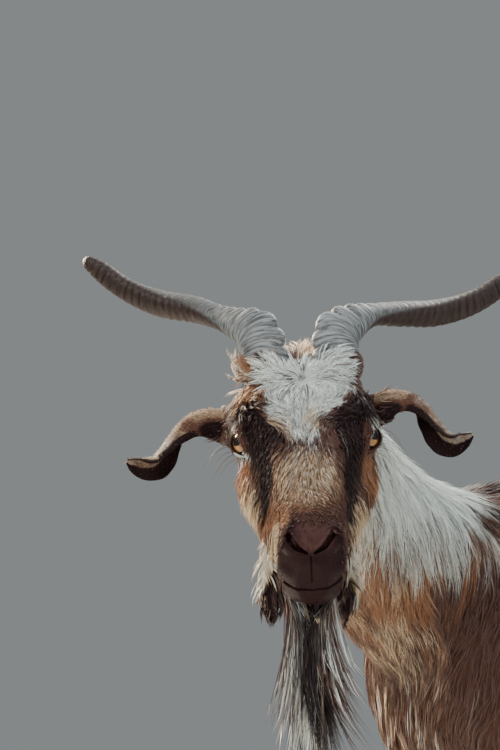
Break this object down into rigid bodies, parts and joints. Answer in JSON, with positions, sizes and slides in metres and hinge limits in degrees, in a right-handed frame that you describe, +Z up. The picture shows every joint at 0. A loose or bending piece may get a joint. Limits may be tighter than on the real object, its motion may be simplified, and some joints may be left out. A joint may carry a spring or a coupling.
{
  "type": "domestic billy goat",
  "caption": "life-size standing billy goat with wide twisted horns, drooping ears, throat tassels and a long beard, its head turned to its left",
  "frame": {"origin": "middle of the bounding box in plan, on the floor under the hooves", "axes": "+Z up, the goat's body faces -Y, its left side is +X and its head is turned towards +X"},
  "size_m": [0.434, 1.3448, 1.024],
  "materials": {
    "face_coat": "short hair, brown with dark stripes",
    "pale_coat": "long cream-white hair",
    "brown_coat": "red-brown hair",
    "leg_coat": "short red-brown hair",
    "ear_skin": "skin with thin hair",
    "eye": "moist, amber",
    "horn": "grey keratin with ridges",
    "wattle_coat": "skin with hair",
    "hoof": "dark keratin"
  },
  "bodies": {
    "root": {"head": "face_coat", "neck": "pale_coat", "torso": "brown_coat", "tail": "pale_coat", "leg_front_left": "leg_coat", "leg_front_right": "leg_coat", "leg_hind_left": "leg_coat", "leg_hind_right": "leg_coat", "ear_left": "ear_skin", "ear_right": "ear_skin", "eye_left": "eye", "eye_right": "eye", "horn_left": "horn", "horn_right": "horn", "wattle_left": "wattle_coat", "wattle_right": "wattle_coat", "hoof_front_left_outer": "hoof", "hoof_front_left_inner": "hoof", "hoof_front_right_outer": "hoof", "hoof_front_right_inner": "hoof", "hoof_hind_left_outer": "hoof", "hoof_hind_left_inner": "hoof", "hoof_hind_right_outer": "hoof", "hoof_hind_right_inner": "hoof"}
  },
  "joints": []
}
